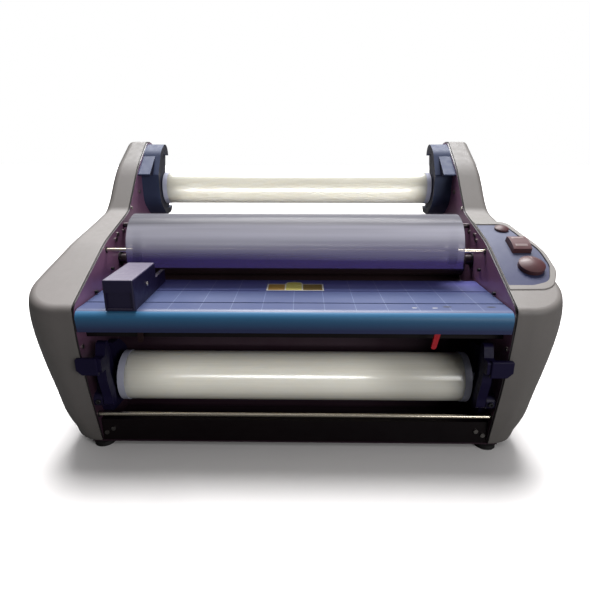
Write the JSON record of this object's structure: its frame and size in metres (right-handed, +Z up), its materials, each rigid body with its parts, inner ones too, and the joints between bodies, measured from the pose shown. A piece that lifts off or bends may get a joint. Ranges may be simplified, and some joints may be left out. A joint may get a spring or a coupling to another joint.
{
  "type": "desktop roll laminator",
  "caption": "Desktop roll laminator with moulded side housings, film rolls below the front table and above the exit, pressure rollers, tinted shield, side guide and a control panel.",
  "frame": {"origin": "centre of the footprint, on the surface the feet stand on", "axes": "+X to the operator's right along the rollers, +Y away from the operator towards the exit side, +Z up"},
  "size_m": [0.9062, 0.561, 0.537],
  "materials": {
    "frame_paint": "satin",
    "cover_plastic": "fine texture",
    "bracket_plastic": "satin",
    "panel_print": "satin",
    "control_plastic": "satin",
    "shield_plastic": "tinted",
    "rib_plastic": "satin",
    "table_metal": "satin",
    "latch_plastic": "gloss",
    "guide_plastic": "satin",
    "lock_plastic": "satin",
    "silicone": "smooth",
    "pull_rubber": "smooth",
    "steel": "brushed",
    "gear_plastic": "smooth",
    "bushing_plastic": "smooth",
    "film": "satin",
    "card_core": "card",
    "cap_plastic": "satin",
    "foot_rubber": "matte",
    "motor_metal": "satin",
    "board": "gloss",
    "black_plastic": "satin"
  },
  "bodies": {
    "machine": {"left_side_frame": "frame_paint", "right_side_frame": "frame_paint", "base_tray": "frame_paint", "front_lower_panel": "frame_paint", "inner_baffle": "frame_paint", "front_tie_channel": "frame_paint", "rear_panel": "frame_paint", "inlet_panel": "frame_paint", "exit_deck": "frame_paint", "roller_guard": "frame_paint", "rubber_feet": "foot_rubber", "screws": "steel", "table_pins": "steel", "bushings": "bushing_plastic", "heater_rods": "steel", "drive_motor": "motor_metal", "idler_stud": "steel", "fan_frame": "black_plastic", "power_inlet": "black_plastic", "control_board": "board", "left_side_cover": "cover_plastic", "right_side_cover": "cover_plastic", "control_panel_plate": "panel_print", "left_upper_bracket": "bracket_plastic", "right_upper_bracket": "bracket_plastic", "left_lower_bracket": "bracket_plastic", "right_lower_bracket": "bracket_plastic", "shield_pivot_rod": "steel"},
    "lower_heat_roller": {"lower_heat_roller_core": "steel", "lower_heat_roller_sleeve": "silicone", "lower_heat_gear": "gear_plastic"},
    "upper_heat_roller": {"upper_heat_roller_core": "steel", "upper_heat_roller_sleeve": "silicone", "upper_heat_gear": "gear_plastic"},
    "lower_pull": {"lower_pull_roller": "pull_rubber", "lower_pull_gear": "gear_plastic"},
    "upper_pull": {"upper_pull_roller": "pull_rubber", "upper_pull_gear": "gear_plastic"},
    "drive_idler": {"idler_gear": "gear_plastic"},
    "pinion": {"motor_pinion": "steel"},
    "lower_roll": {"lower_roll_film": "film", "lower_roll_core": "card_core", "lower_roll_end_caps": "cap_plastic"},
    "upper_roll": {"upper_roll_film": "film", "upper_roll_core": "card_core", "upper_roll_end_caps": "cap_plastic"},
    "lower_bar": {"lower_idler_bar": "steel"},
    "upper_bar": {"upper_idler_bar": "steel"},
    "shield": {"heat_shield": "shield_plastic", "shield_ribs": "rib_plastic"},
    "table": {"feed_table": "table_metal"},
    "guide": {"side_guide": "guide_plastic"},
    "left_latch": {"left_table_latch": "latch_plastic"},
    "right_latch": {"right_table_latch": "latch_plastic"},
    "left_lock": {"left_lock_lever": "lock_plastic"},
    "right_lock": {"right_lock_lever": "lock_plastic"},
    "speed_dial": {"small_knob": "control_plastic"},
    "heat_dial": {"big_knob": "control_plastic"},
    "switch": {"rocker_switch": "control_plastic"},
    "fan": {"fan_rotor": "black_plastic"}
  },
  "joints": [
    {"name": "lower_heat_spin", "type": "hinge", "parent": "machine", "child": "lower_heat_roller", "pos_m": [0, -0.056, 0.248], "axis": [1, 0, 0], "continuous": true},
    {"name": "upper_heat_spin", "type": "hinge", "parent": "machine", "child": "upper_heat_roller", "pos_m": [0, -0.056, 0.312], "axis": [1, 0, 0], "continuous": true},
    {"name": "lower_pull_spin", "type": "hinge", "parent": "machine", "child": "lower_pull", "pos_m": [0, 0.052, 0.256], "axis": [1, 0, 0], "continuous": true},
    {"name": "upper_pull_spin", "type": "hinge", "parent": "machine", "child": "upper_pull", "pos_m": [0, 0.052, 0.304], "axis": [1, 0, 0], "continuous": true},
    {"name": "idler_spin", "type": "hinge", "parent": "machine", "child": "drive_idler", "pos_m": [0.364, 0.00318, 0.2381], "axis": [1, 0, 0], "continuous": true},
    {"name": "pinion_spin", "type": "hinge", "parent": "machine", "child": "pinion", "pos_m": [0.364, -0.056, 0.2], "axis": [1, 0, 0], "continuous": true},
    {"name": "lower_roll_spin", "type": "hinge", "parent": "machine", "child": "lower_roll", "pos_m": [0, -0.175, 0.114], "axis": [1, 0, 0], "continuous": true},
    {"name": "upper_roll_spin", "type": "hinge", "parent": "machine", "child": "upper_roll", "pos_m": [0, 0.192, 0.43], "axis": [1, 0, 0], "continuous": true},
    {"name": "lower_bar_spin", "type": "hinge", "parent": "machine", "child": "lower_bar", "pos_m": [0, -0.238, 0.067], "axis": [1, 0, 0], "continuous": true},
    {"name": "upper_bar_spin", "type": "hinge", "parent": "machine", "child": "upper_bar", "pos_m": [0, -0.1195, 0.343], "axis": [1, 0, 0], "continuous": true},
    {"name": "shield_hinge", "type": "hinge", "parent": "machine", "child": "shield", "pos_m": [0, -0.022, 0.374], "axis": [-1, 0, 0], "range_deg": [0, 95]},
    {"name": "table_slide", "type": "slide", "parent": "machine", "child": "table", "axis": [0, -1, 0], "range_m": [0, 0.18]},
    {"name": "guide_slide", "type": "slide", "parent": "table", "child": "guide", "axis": [1, 0, 0], "range_m": [-0.04, 0.3]},
    {"name": "left_latch_hinge", "type": "hinge", "parent": "table", "child": "left_latch", "pos_m": [-0.25, -0.262, 0.257], "axis": [1, 0, 0], "range_deg": [-25, 0]},
    {"name": "right_latch_hinge", "type": "hinge", "parent": "table", "child": "right_latch", "pos_m": [0.236, -0.262, 0.257], "axis": [1, 0, 0], "range_deg": [0, 25]},
    {"name": "left_lock_hinge", "type": "hinge", "parent": "machine", "child": "left_lock", "pos_m": [-0.338, -0.243, 0.099], "axis": [1, 0, 0], "range_deg": [0, 40]},
    {"name": "right_lock_hinge", "type": "hinge", "parent": "machine", "child": "right_lock", "pos_m": [0.338, -0.243, 0.099], "axis": [1, 0, 0], "range_deg": [0, 40]},
    {"name": "speed_dial_turn", "type": "hinge", "parent": "machine", "child": "speed_dial", "pos_m": [0.4, -0.065, 0.37403], "axis": [0, -0.2728, 0.9621], "range_deg": [-135, 135]},
    {"name": "heat_dial_turn", "type": "hinge", "parent": "machine", "child": "heat_dial", "pos_m": [0.41, -0.181, 0.32839], "axis": [0, -0.437, 0.8995], "range_deg": [-135, 135]},
    {"name": "switch_rock", "type": "hinge", "parent": "machine", "child": "switch", "pos_m": [0.405, -0.12581, 0.35168], "axis": [1, 0, 0], "range_deg": [-7, 7]},
    {"name": "fan_spin", "type": "hinge", "parent": "machine", "child": "fan", "pos_m": [-0.2, 0.246, 0.126], "axis": [0, 1, 0], "continuous": true}
  ],
  "couplings": [
    {"joint": "upper_heat_spin", "follows": "lower_heat_spin", "ratio": -1},
    {"joint": "idler_spin", "follows": "lower_heat_spin", "ratio": -1.1429},
    {"joint": "lower_pull_spin", "follows": "lower_heat_spin", "ratio": 1.3333},
    {"joint": "upper_pull_spin", "follows": "lower_heat_spin", "ratio": -1.3333},
    {"joint": "pinion_spin", "follows": "lower_heat_spin", "ratio": -2}
  ]
}
